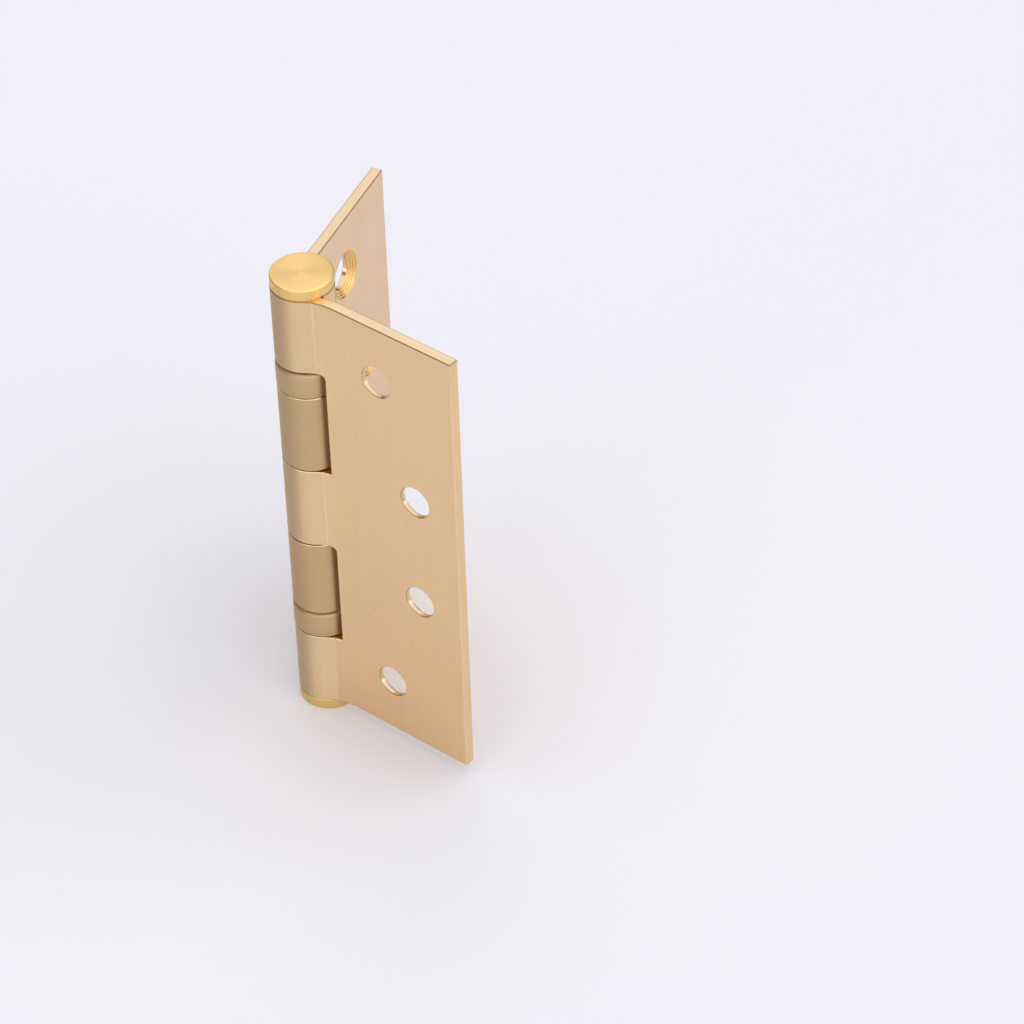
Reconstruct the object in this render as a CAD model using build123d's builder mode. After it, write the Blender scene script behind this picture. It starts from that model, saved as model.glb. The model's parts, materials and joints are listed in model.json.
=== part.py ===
from build123d import *

import os
from math import cos, radians, sin, sqrt

# A two-bearing butt hinge, in millimetres. The pin's axis is Z, and the origin is on it at mid-height.
# The frame leaf has three knuckles and lies along +X, with its screw heads towards +Y.
# The door leaf has two knuckles and stands open from it by the opening angle.

# Leaves
leaf_height = 101.6
leaf_width = 38.1
sheet = 2.3
barrel_radius = 6.2
back_offset = 3.1
opening_angle = 105
edge_break = 0.15

# Heights along the barrel
end_knuckle = 17.05
bearing_space = 6.4
inner_knuckle = 17.8
knuckle_gap = 0.2

# Rolled knuckles and the notches between them
bend_radius = 10
crease_reach = 5.6
crease_radius = 0.6
crease_depth = 0.1
seam_gap = 0.3
notch_reach = 7.25
notch_corner = 1.2

# Countersunk screw holes, staggered
hole_radius = 3.4
head_radius = 5.2
head_angle = 105
outer_hole_reach = 19.8
outer_hole_height = 38.1
inner_hole_reach = 28
inner_hole_height = 12.7

# Pin and end caps
pin_clearance = 0.05
pin_end_play = 0.2
pin_lead = 0.6
cap_radius = 6.15
cap_thickness = 2.5
cap_edge = 0.3
spigot_length = 5
spigot_clearance = 0.02
spigot_lead = 0.4

# Ball-thrust bearings: each stands on the knuckle below it and carries the knuckle above it
ball_radius = 0.6
ball_count = 10
ball_clearance = 0.05
race_gap = 0.7
race_bore_radius = 3.95
race_neck_radius = 5.1
cage_thickness = 0.5
cage_clearance = 0.05
shell_radius = 6.25
shell_wall = 0.45
shell_flange = 0.5
shell_shoulder = 0.8
shell_drop = 0.5
shell_lift = 0.1
shell_clearance = 0.1

# Worked out from the sizes above
half_height = leaf_height / 2
bore_radius = barrel_radius - sheet
front_offset = back_offset - sheet
end_knuckle_foot = half_height - end_knuckle
inner_knuckle_head = end_knuckle_foot - bearing_space
inner_knuckle_foot = inner_knuckle_head - inner_knuckle
centre_knuckle_head = inner_knuckle_foot - knuckle_gap

# The sheet leaves the barrel on a concave bend, whose centre lies behind the back face.
bend_centre_distance = barrel_radius + bend_radius
bend_depth = back_offset + bend_radius
bend_reach = sqrt(bend_centre_distance**2 - bend_depth**2)
front_bend_radius = bend_radius + sheet

# A shallow crease runs up the bend where the curl begins.
crease_bend_radius = bend_radius - crease_radius + crease_depth
crease_rise = sqrt(crease_bend_radius**2 - (bend_reach - crease_reach) ** 2)
crease_centre = (crease_reach, crease_rise - bend_depth)

# In a leaf's own plane, x runs out along the leaf and y points the way that its screw heads face.
opening = radians(opening_angle)
frame_plane = Plane.XY
door_plane = Plane(origin=(0, 0, 0), x_dir=(cos(opening), sin(opening), 0), z_dir=(0, 0, -1))

# Inside a bearing, heights are measured from the knuckle that it stands on.
ball_height = bearing_space / 2
ball_seat_radius = ball_radius + ball_clearance
shell_head = bearing_space - shell_drop
shell_bore_radius = shell_radius - shell_wall
race_radius = shell_bore_radius - shell_clearance
cage_bore_radius = race_bore_radius + cage_clearance
ball_pitch_radius = (cage_bore_radius + race_radius) / 2
bearings = {"upper": inner_knuckle_head, "lower": -end_knuckle_foot}


def on_bend_line(radius):
    """The point at a radius from the pin's axis on the line to the bend's centre."""
    share = radius / bend_centre_distance
    return (bend_reach * share, -bend_depth * share)


def crossing(pin_circle, bend_circle):
    """The point, on the front side, where a circle about the pin meets one about the bend's centre."""
    along = (pin_circle**2 - bend_circle**2 + bend_centre_distance**2) / (2 * bend_centre_distance)
    across = sqrt(pin_circle**2 - along**2)
    out_x = bend_reach / bend_centre_distance
    out_y = -bend_depth / bend_centre_distance
    return (along * out_x - across * out_y, along * out_y + across * out_x)


def rolled_section(plane):
    """Section of a leaf: flat sheet, bend, and a curl that nearly meets the sheet again."""
    curl_end_radius = front_bend_radius + seam_gap
    curl_tip = crossing(barrel_radius, curl_end_radius)
    curl_heel = crossing(bore_radius, curl_end_radius)
    with BuildSketch(plane) as section:
        with BuildLine():
            Line((leaf_width, -back_offset), (bend_reach, -back_offset))
            RadiusArc((bend_reach, -back_offset), on_bend_line(barrel_radius), -bend_radius)
            ThreePointArc(on_bend_line(barrel_radius), (-barrel_radius, 0), curl_tip)
            RadiusArc(curl_tip, curl_heel, -curl_end_radius)
            ThreePointArc(curl_heel, (-bore_radius, 0), on_bend_line(bore_radius))
            RadiusArc(on_bend_line(bore_radius), (bend_reach, -front_offset), front_bend_radius)
            Line((bend_reach, -front_offset), (leaf_width, -front_offset))
            Line((leaf_width, -front_offset), (leaf_width, -back_offset))
        make_face()
        with Locations(crease_centre):
            Circle(crease_radius, mode=Mode.SUBTRACT)
    return section.sketch


def leaf(plane, notches):
    """A leaf with the knuckles that its notches leave. A notch is its lower and upper height."""
    along_leaf = plane.x_dir
    upright_plane = Plane(origin=(0, 0, 0), x_dir=along_leaf, z_dir=along_leaf.cross(Vector(0, 0, 1)))
    front_plane = Plane(origin=plane.y_dir * -front_offset, x_dir=along_leaf, z_dir=plane.y_dir)
    section = rolled_section(plane.offset(-half_height))
    notch_length = notch_reach + 2 * barrel_radius
    with BuildPart() as body:
        extrude(section, amount=leaf_height)
        for low, high in notches:
            with BuildSketch(upright_plane) as opening_shape:
                with Locations((notch_reach - notch_length / 2, (low + high) / 2)):
                    Rectangle(notch_length, high - low)
                if high < half_height:
                    root_corners = opening_shape.vertices().group_by(Axis.X)[-1]
                    fillet(root_corners.sort_by(Axis.Y)[-1], notch_corner)
            extrude(amount=2 * barrel_radius, both=True, mode=Mode.SUBTRACT)
        with Locations(front_plane):
            with Locations(
                (outer_hole_reach, outer_hole_height),
                (outer_hole_reach, -outer_hole_height),
                (inner_hole_reach, inner_hole_height),
                (inner_hole_reach, -inner_hole_height),
            ):
                CounterSinkHole(hole_radius, head_radius, sheet, head_angle)
    return body.part


os.makedirs("parts", exist_ok=True)

# Frame leaf: three knuckles
with BuildPart() as three_knuckle_leaf:
    add(
        leaf(
            frame_plane,
            [(centre_knuckle_head, end_knuckle_foot), (-end_knuckle_foot, -centre_knuckle_head)],
        )
    )
three_knuckle_leaf.part.label = "three_knuckle_leaf"
export_step(three_knuckle_leaf.part, "parts/three_knuckle_leaf.step")

# Door leaf: two knuckles
past_end = half_height + bearing_space
with BuildPart() as two_knuckle_leaf:
    add(
        leaf(
            door_plane,
            [
                (inner_knuckle_head, past_end),
                (-inner_knuckle_foot, inner_knuckle_foot),
                (-past_end, -inner_knuckle_head),
            ],
        )
    )
two_knuckle_leaf.part.label = "two_knuckle_leaf"
export_step(two_knuckle_leaf.part, "parts/two_knuckle_leaf.step")

# Pin: a plain rod with a lead at each end, between the two caps' spigots
pin_length = leaf_height - 2 * (spigot_length + pin_end_play)
with BuildPart() as hinge_pin:
    Cylinder(bore_radius - pin_clearance, pin_length)
    chamfer(hinge_pin.edges().filter_by(GeomType.CIRCLE), pin_lead)
hinge_pin.part.label = "hinge_pin"
export_step(hinge_pin.part, "parts/hinge_pin.step")

# Caps: a disc on the end of the barrel, with a spigot pressed into the end knuckle
for name, outward in (("top", 1), ("bottom", -1)):
    seat = Plane(origin=(0, 0, outward * half_height), z_dir=(0, 0, outward))
    with BuildPart() as cap:
        with BuildSketch(seat):
            Circle(cap_radius)
        extrude(amount=cap_thickness)
        fillet(cap.edges().sort_by(Axis((0, 0, 0), (0, 0, outward)))[-1], cap_edge)
        with BuildSketch(seat):
            Circle(bore_radius - spigot_clearance)
        extrude(amount=-spigot_length)
        chamfer(cap.edges().sort_by(Axis((0, 0, 0), (0, 0, outward)))[0], spigot_lead)
    cap.part.label = f"{name}_cap"
    export_step(cap.part, f"parts/{name}_cap.step")

for name, seat in bearings.items():
    # Shell: a drawn cup turned down over the races. It turns with the upper race.
    with BuildPart() as bearing_shell:
        with BuildSketch(Plane.XZ):
            with BuildLine():
                Polyline(
                    (shell_bore_radius, seat + shell_lift),
                    (shell_radius, seat + shell_lift),
                    (shell_radius, seat + shell_head),
                    (race_neck_radius, seat + shell_head),
                    (race_neck_radius, seat + shell_head - shell_flange),
                    (shell_bore_radius, seat + shell_head - shell_flange),
                    close=True,
                )
            make_face()
        revolve(axis=Axis.Z)
        rims = bearing_shell.edges().group_by(Axis.Z)
        fillet(rims[-1].sort_by(SortBy.RADIUS)[-1], shell_shoulder)
        chamfer(bearing_shell.edges().group_by(Axis.Z)[0].sort_by(SortBy.RADIUS)[-1], edge_break)
    bearing_shell.part.label = f"{name}_bearing_shell"
    export_step(bearing_shell.part, f"parts/{name}_bearing_shell.step")

    # Upper race: its neck stands out of the shell to meet the knuckle above
    with BuildPart() as upper_race:
        with BuildSketch(Plane.XZ):
            with BuildLine():
                Polyline(
                    (race_bore_radius, seat + ball_height + race_gap / 2),
                    (race_radius, seat + ball_height + race_gap / 2),
                    (race_radius, seat + shell_head - shell_flange),
                    (race_neck_radius, seat + shell_head - shell_flange),
                    (race_neck_radius, seat + bearing_space),
                    (race_bore_radius, seat + bearing_space),
                    close=True,
                )
            make_face()
            with Locations((ball_pitch_radius, seat + ball_height)):
                Circle(ball_seat_radius, mode=Mode.SUBTRACT)
        revolve(axis=Axis.Z)
    upper_race.part.label = f"{name}_bearing_upper_race"
    export_step(upper_race.part, f"parts/{name}_bearing_upper_race.step")

    # Lower race
    with BuildPart() as lower_race:
        with BuildSketch(Plane.XZ):
            with BuildLine():
                Polyline(
                    (race_bore_radius, seat),
                    (race_radius, seat),
                    (race_radius, seat + ball_height - race_gap / 2),
                    (race_bore_radius, seat + ball_height - race_gap / 2),
                    close=True,
                )
            make_face()
            with Locations((ball_pitch_radius, seat + ball_height)):
                Circle(ball_seat_radius, mode=Mode.SUBTRACT)
        revolve(axis=Axis.Z)
    lower_race.part.label = f"{name}_bearing_lower_race"
    export_step(lower_race.part, f"parts/{name}_bearing_lower_race.step")

    # Cage: a flat ring with a pocket for each ball
    with BuildPart() as cage:
        with BuildSketch(Plane.XY.offset(seat + ball_height - cage_thickness / 2)):
            Circle(race_radius)
            Circle(cage_bore_radius, mode=Mode.SUBTRACT)
            with PolarLocations(ball_pitch_radius, ball_count):
                Circle(ball_seat_radius, mode=Mode.SUBTRACT)
        extrude(amount=cage_thickness)
    cage.part.label = f"{name}_bearing_cage"
    export_step(cage.part, f"parts/{name}_bearing_cage.step")

    # Balls
    for index in range(ball_count):
        with BuildPart(Plane.XY.offset(seat + ball_height)) as ball:
            with PolarLocations(ball_pitch_radius, 1, start_angle=360 * index / ball_count):
                Sphere(ball_radius)
        ball.part.label = f"{name}_bearing_ball_{index + 1}"
        export_step(ball.part, f"parts/{name}_bearing_ball_{index + 1}.step")
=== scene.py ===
import json
from math import acos, atan2, cos, pi, radians, sin, sqrt, tan

import bmesh
import bpy
from mathutils import Matrix, Vector


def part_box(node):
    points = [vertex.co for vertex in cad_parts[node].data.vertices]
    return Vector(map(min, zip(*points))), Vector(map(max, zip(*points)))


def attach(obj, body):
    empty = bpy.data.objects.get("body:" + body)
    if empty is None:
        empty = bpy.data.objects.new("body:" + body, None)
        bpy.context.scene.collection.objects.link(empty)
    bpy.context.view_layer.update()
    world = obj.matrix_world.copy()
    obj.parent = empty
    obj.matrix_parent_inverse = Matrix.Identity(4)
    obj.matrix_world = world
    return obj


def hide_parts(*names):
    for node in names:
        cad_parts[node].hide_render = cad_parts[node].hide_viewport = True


# A satin brass butt hinge. Each piece's mesh is made in millimetres, then scaled to metres.
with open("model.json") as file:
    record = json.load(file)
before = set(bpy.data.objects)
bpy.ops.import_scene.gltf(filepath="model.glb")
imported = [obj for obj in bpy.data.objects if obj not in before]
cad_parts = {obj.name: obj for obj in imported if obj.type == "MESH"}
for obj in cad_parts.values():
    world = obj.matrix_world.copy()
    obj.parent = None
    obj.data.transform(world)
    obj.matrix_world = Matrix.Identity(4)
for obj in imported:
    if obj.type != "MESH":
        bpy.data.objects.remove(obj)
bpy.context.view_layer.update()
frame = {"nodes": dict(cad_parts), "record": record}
record = frame["record"]
mounts = {mount["name"]: mount for mount in record["mounts"]}
MM = 0.001

# ---- Sizes read from the frame, in millimetres
leaf_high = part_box("three_knuckle_leaf")[1]
leaf_width = leaf_high.x / MM
barrel_radius = leaf_high.y / MM
half_height = leaf_high.z / MM
back_offset = -mounts["frame_leaf_back"]["pos_m"][1] / MM
door_front = Vector(mounts["door_leaf_outer_screws"]["axis"])
hole_radius = mounts["frame_leaf_outer_screws"]["dims"]["hole_r_mm"]
pin_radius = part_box("hinge_pin")[1].x / MM
bearing_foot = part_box("upper_bearing_lower_race")[0].z / MM
bearing_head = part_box("upper_bearing_upper_race")[1].z / MM
cap_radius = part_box("top_cap")[1].x / MM
floor_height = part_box("bottom_cap")[0].z

# ---- Sizes of details that the frame's boxes don't give, in millimetres
sheet = 2.3
pin_play = 0.05
bend_radius = 10.0
crease_reach = 5.6
crease_depth = 0.1
crease_width = 0.7
seam_gap = 0.3
notch_reach = 7.25
notch_corner = 1.2
centre_knuckle_half = 9.35
knuckle_gap = 0.2
head_radius = 5.2
head_angle = radians(105)
edge_round = 0.2
hole_edge_break = 0.1
shell_lead = 0.25
arc_step = radians(2.5)

front_offset = back_offset - sheet
cone_depth = (head_radius - hole_radius) / tan(head_angle / 2)
bore_radius = pin_radius + pin_play
bend_distance = barrel_radius + bend_radius
bend_depth = back_offset + bend_radius
bend_reach = sqrt(bend_distance**2 - bend_depth**2)

# Material slots of a leaf
leaf_slots = range(8)
SHEET, KNUCKLE, CUT_EDGE, COUNTERSINK, HOLE_WALL, WORN_AND_HIGHLIGHT, SHADED_KNUCKLE_END, BURR_AND_SEAM_SHADE = leaf_slots


# ---- Mesh helpers
def new_object(name, mesh):
    piece = bpy.data.objects.new(name, mesh)
    bpy.context.scene.collection.objects.link(piece)
    return piece


def arc(centre, radius, start, end, step=arc_step):
    """Points on an arc from one angle to another, both ends included."""
    count = max(2, round(abs(end - start) / step))
    turns = [start + (end - start) * index / count for index in range(count + 1)]
    return [(centre[0] + radius * cos(turn), centre[1] + radius * sin(turn)) for turn in turns]


def prism(outline, low, high):
    """A closed bmesh: the outline in x and y, extruded from one height to another."""
    solid = bmesh.new()
    rings = [[solid.verts.new((x, y, z)) for x, y in outline] for z in (low, high)]
    count = len(outline)
    solid.faces.new(list(reversed(rings[0])))
    solid.faces.new(rings[1])
    for index in range(count):
        after = (index + 1) % count
        solid.faces.new((rings[0][index], rings[0][after], rings[1][after], rings[1][index]))
    bmesh.ops.recalc_face_normals(solid, faces=solid.faces)
    return solid


def lathe(profile, segments):
    """A closed bmesh: a loop of (radius, height) points turned about Z. Radius 0 is a point on the axis."""
    solid = bmesh.new()
    rings = []
    on_axis = 1e-9
    for radius, height in profile:
        if radius < on_axis:
            rings.append([solid.verts.new((0, 0, height))])
            continue
        turns = [2 * pi * index / segments for index in range(segments)]
        ring = [(radius * cos(turn), radius * sin(turn), height) for turn in turns]
        rings.append([solid.verts.new(place) for place in ring])
    pairs = list(zip(rings, rings[1:]))
    if profile[0][0] > on_axis and profile[-1][0] > on_axis:
        pairs.append((rings[-1], rings[0]))
    for first, second in pairs:
        for index in range(segments):
            after = (index + 1) % segments
            if len(first) == 1:
                solid.faces.new((first[0], second[after], second[index]))
            elif len(second) == 1:
                solid.faces.new((first[index], first[after], second[0]))
            else:
                solid.faces.new((first[index], first[after], second[after], second[index]))
    bmesh.ops.recalc_face_normals(solid, faces=solid.faces)
    return solid


def to_mesh(solid, name):
    mesh = bpy.data.meshes.new(name)
    solid.to_mesh(mesh)
    solid.free()
    return mesh


def applied(piece):
    """Applies every modifier of the piece to its mesh."""
    graph = bpy.context.evaluated_depsgraph_get()
    mesh = bpy.data.meshes.new_from_object(piece.evaluated_get(graph))
    piece.modifiers.clear()
    piece.data = mesh
    return piece


def cut(piece, solids):
    """Cuts each solid from the piece."""
    for solid in solids:
        tool = new_object("cutter", to_mesh(solid, "cutter"))
        modifier = piece.modifiers.new("cut", "BOOLEAN")
        modifier.operation = "DIFFERENCE"
        modifier.solver = "EXACT"
        modifier.object = tool
        bpy.context.view_layer.update()
        applied(piece)
        bpy.data.objects.remove(tool)


def round_edges(piece, width=edge_round, segments=3, limit=radians(30)):
    """Rounds every sharp edge, and gives the rounded strips the worn material's slot."""
    bevel = piece.modifiers.new("round", "BEVEL")
    bevel.width = width
    bevel.segments = segments
    bevel.limit_method = "ANGLE"
    bevel.angle_limit = limit
    bevel.miter_outer = "MITER_ARC"
    bevel.use_clamp_overlap = False
    bevel.material = WORN_AND_HIGHLIGHT
    bpy.context.view_layer.update()
    applied(piece)


def smooth(piece, sharp_angle=radians(30)):
    piece.data.polygons.foreach_set("use_smooth", [True] * len(piece.data.polygons))
    piece.data.set_sharp_from_angle(angle=sharp_angle)


def weigh_normals(piece):
    """Smooth shading that keeps the flat faces flat up to their rounded edges."""
    smooth(piece)
    normals = piece.modifiers.new("normals", "WEIGHTED_NORMAL")
    normals.keep_sharp = True
    bpy.context.view_layer.update()
    applied(piece)


def finish_piece(piece, body, node):
    """Turns the piece's mesh to metres and ties it to the frame."""
    piece.data.transform(Matrix.Scale(MM, 4))
    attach(piece, body)
    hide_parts(node)


# ---- Leaves
def circles_meet(pin_circle, bend_circle):
    """Angle about the pin, and point, where a circle about it meets one about the bend's centre."""
    along = (pin_circle**2 - bend_circle**2 + bend_distance**2) / (2 * bend_distance)
    across = sqrt(pin_circle**2 - along**2)
    out = (bend_reach / bend_distance, -bend_depth / bend_distance)
    point = (along * out[0] - across * out[1], along * out[1] + across * out[0])
    return atan2(point[1], point[0]), point


def rolled_outline():
    """Section of a leaf: flat sheet, concave bend, and a curl that nearly meets the sheet again."""
    centre = (bend_reach, -bend_depth)
    front_bend = bend_radius + sheet
    curl_end = front_bend + seam_gap
    leaving = atan2(-bend_depth, bend_reach)
    tip_turn, tip = circles_meet(barrel_radius, curl_end)
    heel_turn, heel = circles_meet(bore_radius, curl_end)
    toward_pin = atan2(bend_depth, -bend_reach)
    tip_side = atan2(tip[1] - centre[1], tip[0] - centre[0])
    heel_side = atan2(heel[1] - centre[1], heel[0] - centre[0])
    points = [(leaf_width, -back_offset)]
    crease_start = acos((crease_reach + crease_width / 2 - bend_reach) / bend_radius)
    crease_end = acos((crease_reach - crease_width / 2 - bend_reach) / bend_radius)
    bend = arc(centre, bend_radius, pi / 2, crease_start, radians(10))
    bend += arc(centre, bend_radius, crease_start, crease_end, radians(0.5))[1:]
    bend += arc(centre, bend_radius, crease_end, toward_pin, radians(4))[1:]
    for x, y in bend:
        off_crease = min(1, abs(x - crease_reach) / (crease_width / 2))
        sink = 1 + crease_depth * (1 + cos(pi * off_crease)) / 2 / bend_radius
        points.append((centre[0] + (x - centre[0]) * sink, centre[1] + (y - centre[1]) * sink))
    points += arc((0, 0), barrel_radius, leaving, tip_turn - 2 * pi)[1:]
    points += arc(centre, curl_end, tip_side, heel_side, arc_step * 2)[1:]
    points += arc((0, 0), bore_radius, heel_turn, leaving + 2 * pi)[1:]
    points += arc(centre, front_bend, toward_pin, pi / 2, radians(9))[1:]
    points.append((leaf_width, -front_offset))
    return points


def notch_cutter(low, high, up):
    """A block across the barrel, with its upper corner rounded. up is as in make_leaf."""
    lower, upper = (low, high) if up > 0 else (high, low)
    past_barrel = 2 * barrel_radius
    corner = (notch_reach - notch_corner, upper - up * notch_corner)
    outline = [(-past_barrel, lower), (notch_reach, lower)]
    outline += arc(corner, notch_corner, 0, up * pi / 2, radians(9))
    outline.append((-past_barrel, upper))
    solid = prism(outline, -past_barrel, past_barrel)
    solid.transform(Matrix.Rotation(pi / 2, 4, "X"))
    return solid


def screw_cutter(reach, height):
    """A hole and its countersink, whose cone carries shallow rings from the cutting tool."""
    rings, ring_depth, steps, overshoot = 4, 0.12, 10, 0.4
    below = -sheet - overshoot
    mouth = hole_radius + hole_edge_break + overshoot
    profile = [(0, below), (mouth, below)]
    profile += [(hole_radius, hole_edge_break - sheet), (hole_radius, -cone_depth)]
    for index in range(1, rings * steps):
        share = index / (rings * steps)
        wave = ring_depth * (1 - cos(2 * pi * share * rings)) / 2
        widening = (head_radius - hole_radius) * share
        profile.append((hole_radius + widening - wave, cone_depth * (share - 1)))
    profile += [(head_radius + overshoot * tan(head_angle / 2), overshoot), (0, overshoot)]
    solid = lathe(profile, segments=96)
    solid.transform(Matrix.Rotation(-pi / 2, 4, "X"))
    solid.transform(Matrix.Translation((reach, -front_offset, height)))
    return solid


def screw_holes():
    """Reach along the leaf and height of each hole, from the mounts."""
    for pair in ("outer", "inner"):
        mount = mounts[f"frame_leaf_{pair}_screws"]
        reach = mount["pos_m"][0] / MM
        half_pitch = mount["dims"]["spacing_y_mm"] / 2
        for height in (half_pitch, -half_pitch):
            yield reach, height


def make_leaf(name, notches, up):
    """A leaf lying along X, its screw heads towards Y. up is 1, or -1 where it is turned over later."""
    piece = new_object(name, to_mesh(prism(rolled_outline(), -half_height, half_height), name))
    for _ in leaf_slots:
        piece.data.materials.append(None)
    cut(piece, [notch_cutter(low, high, up) for low, high in notches])
    round_edges(piece)
    cut(piece, [screw_cutter(*hole) for hole in screw_holes()])
    weigh_normals(piece)
    return piece


# The spans that each leaf leaves free on the barrel
past_end = half_height + bearing_head - bearing_foot
frame_notches = [(centre_knuckle_half, bearing_head), (-bearing_head, -centre_knuckle_half)]
door_notches = [
    (bearing_foot, past_end),
    (-centre_knuckle_half - knuckle_gap, centre_knuckle_half + knuckle_gap),
    (-past_end, -bearing_foot),
]
frame_leaf = make_leaf("frame_leaf_plate", frame_notches, 1)
door_leaf = make_leaf("door_leaf_plate", door_notches, -1)


# ---- Turned pieces
def make_cap(name):
    """The top cap: a disc with a rounded rim, and the spigot that holds it in the end knuckle."""
    low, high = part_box("top_cap")
    top, spigot_end = high.z / MM, low.z / MM
    rim, edge_break, spigot_clearance, lead = 0.3, 0.25, 0.02, 0.4
    spigot_radius = bore_radius - spigot_clearance
    inner_rings = (0, 1.5, 3.0, 4.5)
    profile = [(radius, top) for radius in inner_rings]
    profile += arc((cap_radius - rim, top - rim), rim, pi / 2, 0, radians(15))
    profile += [(cap_radius, half_height + edge_break), (cap_radius - edge_break, half_height)]
    profile += [(spigot_radius, half_height), (spigot_radius, spigot_end + lead)]
    profile += [(spigot_radius - lead, spigot_end), (0, spigot_end)]
    piece = new_object(name, to_mesh(lathe(profile, segments=160), name))
    smooth(piece)
    return piece


top_cap = make_cap("top_button_cap")
finish_piece(top_cap, "frame_leaf", "top_cap")
bottom_cap = make_cap("bottom_button_cap")
bottom_cap.data.transform(Matrix.Rotation(pi, 4, "X"))
finish_piece(bottom_cap, "frame_leaf", "bottom_cap")


def make_shell(name, node):
    """The drawn cup of a bearing: a rounded shoulder above, a small lead below."""
    low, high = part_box(node)
    foot, head, outer = low.z / MM, high.z / MM, high.x / MM
    shoulder, wall, flange, neck = 0.8, 0.45, 0.5, 5.1
    profile = [(neck, head)]
    profile += arc((outer - shoulder, head - shoulder), shoulder, pi / 2, 0, radians(10))
    profile += arc((outer - shell_lead, foot + shell_lead), shell_lead, 0, -pi / 2, radians(22.5))
    profile += [(outer - wall, foot), (outer - wall, head - flange), (neck, head - flange)]
    piece = new_object(name, to_mesh(lathe(profile, segments=160), name))
    smooth(piece)
    return piece


shells = {}
for side, body in (("upper", "frame_leaf"), ("lower", "door_leaf")):
    node = f"{side}_bearing_shell"
    shells[node] = make_shell(f"{side}_bearing_cup", node)
    finish_piece(shells[node], body, node)


# ---- Node trees
class Nodes:
    """The node tree of a material or a world, and a short way to write its nodes."""

    def __init__(self, owner):
        owner.use_nodes = True
        self.tree = owner.node_tree

    def put(self, socket, value):
        if isinstance(value, bpy.types.NodeSocket):
            self.tree.links.new(value, socket)
        else:
            socket.default_value = value

    def add(self, kind, inputs=(), **settings):
        node = self.tree.nodes.new(kind)
        for key, value in settings.items():
            setattr(node, key, value)
        for key, value in dict(inputs).items():
            self.put(node.inputs[key], value)
        return node

    def math(self, operation, first, second):
        return self.add("ShaderNodeMath", {0: first, 1: second}, operation=operation).outputs[0]

    def vector(self, operation, first, second=(0, 0, 0), result="Vector"):
        settings = {0: first, 1: second}
        return self.add("ShaderNodeVectorMath", settings, operation=operation).outputs[result]

    def scaled(self, colour, factor):
        settings = {0: colour, "Scale": factor}
        return self.add("ShaderNodeVectorMath", settings, operation="SCALE").outputs["Vector"]

    def ramp(self, value, start, end, low, high, way="LINEAR"):
        """Maps the range from start to end to the one from low to high."""
        settings = {0: value, 1: start, 2: end, 3: low, 4: high}
        return self.add("ShaderNodeMapRange", settings, interpolation_type=way).outputs[0]

    def parts(self, value):
        """The three parts of a vector or a colour."""
        return self.add("ShaderNodeSeparateXYZ", {0: value}).outputs

    def joined(self, *values):
        return self.add("ShaderNodeCombineXYZ", enumerate(values)).outputs[0]


# ---- Materials
class Surface(Nodes):
    """A material. turn is the angle of the leaf that it lies on."""

    def __init__(self, name, turn=0.0):
        self.material = bpy.data.materials.new(name)
        super().__init__(self.material)
        self.shader = self.tree.nodes["Principled BSDF"]
        self.place = self.add("ShaderNodeTexCoord").outputs["Object"]
        if turn:
            settings = {"Vector": self.place, "Angle": -turn}
            self.place = self.add("ShaderNodeVectorRotate", settings, rotation_type="Z_AXIS").outputs[0]

    def noise(self, place, detail=3.0):
        settings = {"Vector": place, "Scale": 1.0, "Detail": detail, "Roughness": 0.6}
        return self.add("ShaderNodeTexNoise", settings).outputs["Fac"]

    def spread(self, noise, low, high):
        """Maps a noise's usual range to another one."""
        return self.ramp(noise, 0.3, 0.7, low, high)

    def clouds(self, per_metre):
        """Slow patches, about that many to the metre."""
        return self.noise(self.vector("MULTIPLY", self.place, (per_metre,) * 3), 2.0)

    def around_pin(self):
        """Place as distance from the pin's axis, height, and a slow change around it."""
        across, _, height = self.parts(self.place)
        level = self.vector("MULTIPLY", self.place, (1, 1, 0))
        distance = self.vector("LENGTH", level, result="Value")
        return self.joined(distance, height, across)

    def pits(self, spacing=12.0, radius=0.18, share=0.4):
        """1 in a few tiny pits scattered over a leaf, 0 elsewhere. Sizes in millimetres."""
        out, _, height = self.parts(self.place)
        settings = {"Vector": self.joined(out, height), "Scale": 1 / (spacing * MM)}
        cells = self.add("ShaderNodeTexVoronoi", settings, voronoi_dimensions="2D")
        lot = self.parts(cells.outputs["Color"])[0]
        size = self.math("MULTIPLY", self.ramp(lot, 0.0, share, 0.4, 1.0), radius / spacing)
        inside = self.math("LESS_THAN", cells.outputs["Distance"], size)
        return self.math("MULTIPLY", inside, self.math("LESS_THAN", lot, share))

    def set_colour(self, colour, *shades):
        shade = shades[0]
        for other in shades[1:]:
            shade = self.math("MULTIPLY", shade, other)
        self.put(self.shader.inputs["Base Color"], self.scaled(colour, shade))

    def set_bump(self, height, millimetres):
        bump = self.add("ShaderNodeBump", {"Height": height, "Distance": millimetres * MM})
        self.put(self.shader.inputs["Normal"], bump.outputs[0])

    def spread_across(self, grooves):
        """Turns the shader's tangent across the grooves, the way that a brushed highlight spreads."""
        geometry = self.add("ShaderNodeNewGeometry")
        along = (0, 0, 1)
        if grooves == "round":
            along = self.vector("CROSS_PRODUCT", (0, 0, 1), geometry.outputs["Position"])
        across = self.vector("CROSS_PRODUCT", along, geometry.outputs["Normal"])
        self.put(self.shader.inputs["Tangent"], across)


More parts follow.
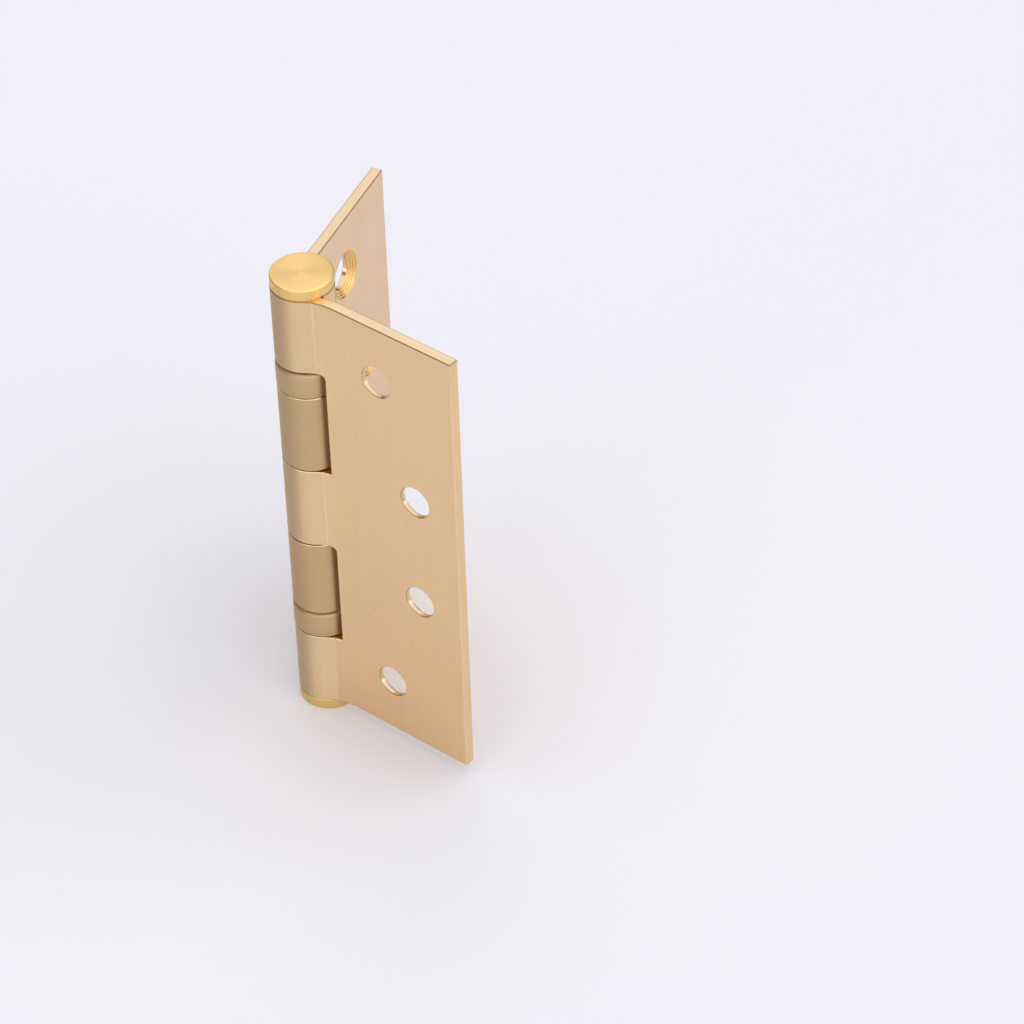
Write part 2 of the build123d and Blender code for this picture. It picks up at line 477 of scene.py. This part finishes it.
def brass(
    name, colour, roughness, anisotropy=0.0, grooves="upright", line=0.2, length=20.0,
    contrast=0.03, bump=0.001, turn=0.0, pitted=False, sheen_way=None,
):
    """Brass with fine grooves: upright, round the pin, or along a cut edge.

    line, length and bump are a groove's width, length and depth, in millimetres. turn is the angle of
    the leaf, and sheen_way spreads the highlight as for other grooves than the ones that show.
    """
    nodes = Surface(name, turn)
    fine, slow = 1 / (line * MM), 1 / (length * MM)
    place, stretch = nodes.place, (fine, fine, slow)
    if grooves == "round":
        place = nodes.around_pin()
    if grooves == "edge":
        stretch = (slow, fine, fine)
    grain = nodes.noise(nodes.vector("MULTIPLY", place, stretch))
    bands = nodes.noise(nodes.vector("MULTIPLY", place, tuple(value / 4 for value in stretch)), 1.0)
    shades = [
        nodes.spread(grain, 1 - contrast, 1),
        nodes.spread(bands, 1 - contrast / 2, 1),
        nodes.spread(nodes.clouds(70), 0.975, 1),
    ]
    if pitted:
        shades.append(nodes.ramp(nodes.pits(), 0.0, 1.0, 1.0, 0.45))
    nodes.set_colour(colour, *shades)
    nodes.put(nodes.shader.inputs["Roughness"], nodes.spread(grain, roughness - 0.03, roughness + 0.03))
    nodes.shader.inputs["Metallic"].default_value = 1.0
    nodes.shader.inputs["Anisotropic"].default_value = anisotropy
    nodes.set_bump(grain, bump)
    if anisotropy:
        nodes.spread_across(sheen_way or grooves)
    return nodes.material


def plain(name, colour, metallic, roughness, line=0.15):
    """Steel or nylon: one colour, faintly mottled, with a fine uneven gloss."""
    nodes = Surface(name)
    fine = nodes.noise(nodes.vector("MULTIPLY", nodes.place, (1 / (line * MM),) * 3))
    nodes.set_colour(colour, nodes.spread(fine, 0.97, 1), nodes.spread(nodes.clouds(300), 0.94, 1))
    nodes.put(nodes.shader.inputs["Roughness"], nodes.spread(fine, roughness - 0.04, roughness + 0.04))
    nodes.shader.inputs["Metallic"].default_value = metallic
    nodes.set_bump(fine, 0.0005)
    return nodes.material


frame_leaf_colour = (0.875, 0.617, 0.352)
door_leaf_colour = (0.865, 0.635, 0.415)
# The door leaf's knuckles and the bearing cups take a brass far darker than the door leaf's sheet: painted
# shade, over their real grooves round the pin.
shaded_round_colour = (0.6, 0.417, 0.226)
barrel_colour = (0.81, 0.602, 0.366)
rim_and_highlight_colour = (0.92, 0.68, 0.4)
cut_colour = (0.97, 0.76, 0.46)
hole_face = brass("brass_hole_wall", (0.74, 0.55, 0.33), 0.2, line=0.4, length=2.0, contrast=0.08)
sink_face = brass("brass_countersink", (0.84, 0.54, 0.19), 0.06, line=0.4, length=0.4, bump=0.0003)
round_brushed_shaded_face = brass("brass_brushed_round_painted_shade", shaded_round_colour, 0.52, 0.55, "round", line=0.15, contrast=0.06)
# Knuckle ends and notch walls take a dark, deep orange brass: painted shade in the gaps between the
# knuckles.
knuckle_end_painted_shade = brass("brass_knuckle_end_painted_shade", (0.6, 0.3, 0.04), 0.4, line=0.3, length=0.3, contrast=0.1)
# A dark brass: burrs at the leaf's ends and at the holes' back edges, and painted shade along the seams of
# knuckles and cups.
burr_and_seam_shade_face = brass("brass_burr_and_painted_seam_shade", (0.45, 0.29, 0.13), 0.35, line=0.3, length=0.3, contrast=0.15)
# Rounded rims take a brighter, polished worn brass; the same brass along the crease is a painted highlight.
worn_rim_and_crease_highlight = brass("brass_worn_rim_and_painted_highlight", rim_and_highlight_colour, 0.18, line=0.5, length=3.0, contrast=0.08)
# The caps' sides are a darker copy of the caps' brass: painted shade.
shaded_cap_side = brass("brass_cap_side_painted_shade", (0.82, 0.575, 0.22), 0.4, 0.6, "round", line=0.25, contrast=0.04)
cap_face = brass("brass_turned_cap", (0.97, 0.68, 0.265), 0.4, 0.6, "round", line=0.25, contrast=0.04)


def paint(piece, slot, *materials):
    """Gives the piece its materials. slot is not used."""
    piece.data.materials.clear()
    for material in materials:
        piece.data.materials.append(material)


def leaf_slot(face, up):
    """The slot of a leaf's face, by where it lies and which way it looks. up is as in make_leaf."""
    x, y, z = face.center
    normal = face.normal
    near_hole = head_radius + 0.3
    # How far a normal leans before its face counts as sheet, as an end or as a notch's wall
    sheet_way, end_way, wall_way = 0.97, 0.3, -0.7
    in_hole = any((x - reach) ** 2 + (z - height) ** 2 < near_hole**2 for reach, height in screw_holes())
    if in_hole and abs(normal.y) < sheet_way:
        if y < hole_edge_break - back_offset:
            return BURR_AND_SEAM_SHADE
        return COUNTERSINK if y > -front_offset - cone_depth else HOLE_WALL
    # Rounded strips that face down at a seam take the dark brass as painted shade; those at the leaf's ends
    # are burrs.
    if face.material_index == WORN_AND_HIGHLIGHT:
        at_seam = x < notch_reach and normal.z * up < -end_way
        return BURR_AND_SEAM_SHADE if at_seam or abs(z) > half_height - edge_round else WORN_AND_HIGHLIGHT
    # A strip along the crease takes the worn brass as a painted highlight.
    if abs(x - crease_reach) < crease_width / 4 and y < -sheet:
        return WORN_AND_HIGHLIGHT
    # Knuckle ends in the notches and the notches' walls take the dark knuckle-end brass as painted shade.
    if abs(normal.z) > end_way:
        in_notch = x < barrel_radius and abs(z) < half_height - 1
        return SHADED_KNUCKLE_END if in_notch else CUT_EDGE
    if normal.x < wall_way and x > notch_reach - 0.1:
        return SHADED_KNUCKLE_END
    return KNUCKLE if x < crease_reach else SHEET


def paint_leaf(piece, side, turn, colour, knuckle, up):
    """Gives a leaf its materials. The sheet's and the cut edge's grain turns with the leaf."""
    sheet_face = brass(
        f"brass_{side}_sheet", colour, 0.4, 0.6, length=30.0, contrast=0.045, turn=turn, pitted=True
    )
    cut_face = brass(
        f"brass_{side}_cut_edge", cut_colour, 0.36, 0.4, "edge",
        line=0.15, length=4.0, contrast=0.1, turn=turn,
    )
    faces = [sheet_face, knuckle, cut_face, sink_face, hole_face, worn_rim_and_crease_highlight, knuckle_end_painted_shade, burr_and_seam_shade_face]
    for index in leaf_slots:
        piece.data.materials[index] = faces[index]
    for face in piece.data.polygons:
        face.material_index = leaf_slot(face, up)


barrel_face = brass(
    "brass_rolled_barrel", barrel_colour, 0.6, 0.85, line=0.3, length=15.0, contrast=0.05, sheen_way="round"
)
paint_leaf(frame_leaf, "frame", 0.0, frame_leaf_colour, barrel_face, 1)
finish_piece(frame_leaf, "frame_leaf", "three_knuckle_leaf")

# The door leaf is turned over, then swung round to its place
along_door = Vector((-door_front.y, door_front.x, 0))
along_angle = atan2(along_door.y, along_door.x)
paint_leaf(door_leaf, "door", along_angle, door_leaf_colour, round_brushed_shaded_face, -1)
door_leaf.data.transform(Matrix((along_door, door_front, (0, 0, -1))).transposed().to_4x4())
finish_piece(door_leaf, "door_leaf", "two_knuckle_leaf")

for cap in (top_cap, bottom_cap):
    paint(cap, "cap_brass", cap_face, shaded_cap_side)
    # Upright faces take the darker side brass as painted shade.
    for face in cap.data.polygons:
        face.material_index = 1 if abs(face.normal.z) < 0.2 else 0
for node, shell in shells.items():
    paint(shell, "shell_brass", round_brushed_shaded_face, burr_and_seam_shade_face)
    # The cup's lower lead takes the dark brass: painted shade in the seam beneath the cup.
    dark_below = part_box(node)[0].z + 0.8 * shell_lead * MM
    for face in shell.data.polygons:
        face.material_index = 1 if face.center.z < dark_below else 0

steel = plain("ground_steel", (0.56, 0.56, 0.57), 1.0, 0.25)
# The races take a far darker steel than the pin: painted shade inside the cups.
shaded_race_steel = plain("oiled_steel", (0.34, 0.32, 0.3), 1.0, 0.25)
ball_steel = plain("polished_steel", (0.6, 0.6, 0.62), 1.0, 0.12)
nylon = plain("cage_nylon", (0.8, 0.78, 0.72), 0.0, 0.5)
for node, piece in frame["nodes"].items():
    if node == "hinge_pin":
        paint(piece, None, steel)
    elif node.endswith("race"):
        paint(piece, None, shaded_race_steel)
    elif "_ball_" in node:
        paint(piece, None, ball_steel)
    elif node.endswith("cage"):
        paint(piece, None, nylon)


# ---- Floor
floor_mesh = bmesh.new()
floor_reach = 20
bmesh.ops.create_grid(floor_mesh, x_segments=1, y_segments=1, size=floor_reach)
floor = new_object("floor", to_mesh(floor_mesh, "floor"))
floor.location.z = floor_height
floor_paint = Surface("floor_paint")
floor_paint.shader.inputs["Base Color"].default_value = (0.803, 0.801, 0.81, 1)
floor_paint.shader.inputs["Roughness"].default_value = 0.6
floor_paint.shader.inputs["Specular IOR Level"].default_value = 0.2
paint(floor, None, floor_paint.material)


# ---- Studio light
def toward(azimuth, elevation):
    """The direction at an azimuth, as for the camera, and an elevation, both in degrees."""
    turn, rise = radians(azimuth), radians(elevation)
    return Vector((sin(turn) * cos(rise), -cos(turn) * cos(rise), sin(rise)))


class Sky(Nodes):
    """The world, as a brightness in each direction."""

    def __init__(self, name):
        world = bpy.data.worlds.new(name)
        bpy.context.scene.world = world
        super().__init__(world)
        self.direction = self.add("ShaderNodeTexCoord").outputs["Generated"]

    def fade(self, value, start, end, low, high):
        return self.ramp(value, start, end, low, high, "SMOOTHSTEP")

    def patch(self, azimuth, elevation, start, end, radiance):
        """A soft round patch of light. start and end are cosines of the angle from its middle."""
        share = self.vector("DOT_PRODUCT", self.direction, toward(azimuth, elevation), "Value")
        return self.fade(share, start, end, 0.0, radiance)


# A bright ceiling, a window behind on the left, and two bright walls on the right.
# The room is dark low down in front and on the left.
overhead, window, low_wall, high_wall, backdrop = 1.35, 1.0, 2.35, 1.35, 0.87
sky = Sky("studio")
upwards = sky.parts(sky.direction)[2]
ceiling = sky.fade(upwards, 0.45, 0.8, 0.0, overhead)
pane = sky.patch(235, 44, 0.8, 0.95, window)
low_down = sky.fade(upwards, 0.5, 0.25, 0.0, 1.0)
front_wall = sky.math("MULTIPLY", sky.patch(58, 0, 0.02, 0.55, low_wall), low_down)
side_wall = sky.patch(112, 28, 0.45, 0.85, high_wall)
brightness = ceiling
for light in (pane, front_wall, side_wall):
    brightness = sky.math("MAXIMUM", brightness, light)
# Straight from the camera, a pale wall shows behind the floor's edge
camera_ray = sky.add("ShaderNodeLightPath").outputs["Is Camera Ray"]
shown = sky.add("ShaderNodeMix", {0: camera_ray, 2: brightness, 3: backdrop}, data_type="FLOAT").outputs[0]
cool_white = (1.0, 0.995, 1.06)
sky.put(sky.tree.nodes["Background"].inputs["Color"], sky.scaled(cool_white, shown))


# ---- Camera
camera_azimuth, camera_elevation, camera_roll = 39.38, 40.62, -1.8
camera_distance = 0.83495
aim = Vector((0.0318, 0.0212, -0.0044))
camera = new_object("camera", bpy.data.cameras.new("camera"))
camera.data.sensor_width = 36
camera.data.lens = 150.2
back = toward(camera_azimuth, camera_elevation)
right = toward(camera_azimuth + 90, 0)
level = Matrix((right, back.cross(right), back)).transposed().to_4x4()
roll = Matrix.Rotation(radians(camera_roll), 4, "Z")
camera.matrix_world = Matrix.Translation(aim + back * camera_distance) @ level @ roll
camera.data.clip_start = 0.01
bpy.context.scene.camera = camera
bpy.context.scene.view_settings.view_transform = "Standard"
